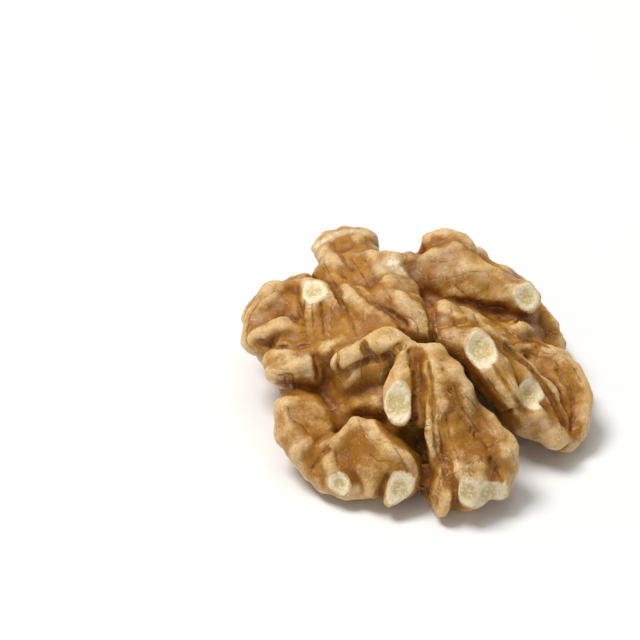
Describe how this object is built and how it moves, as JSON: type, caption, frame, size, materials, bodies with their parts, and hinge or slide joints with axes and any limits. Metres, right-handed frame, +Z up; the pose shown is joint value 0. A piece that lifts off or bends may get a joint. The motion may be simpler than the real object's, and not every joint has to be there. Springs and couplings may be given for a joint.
{
  "type": "walnut kernel half",
  "caption": "Shelled walnut kernel half with folded, brain-like wings and a squared tab, lying on its inner side.",
  "frame": {"origin": "middle of the bounding box's lower face, on the surface that the kernel rests on", "axes": "+Y along the kernel's midline towards the squared tab, +X towards the wing with the long narrow fold, +Z up through the folded outer side"},
  "size_m": [0.033, 0.035, 0.0134],
  "materials": {
    "kernel_skin": "satin, dry papery skin over pale oily flesh"
  },
  "bodies": {
    "root": {"kernel_half": "kernel_skin"}
  },
  "joints": []
}
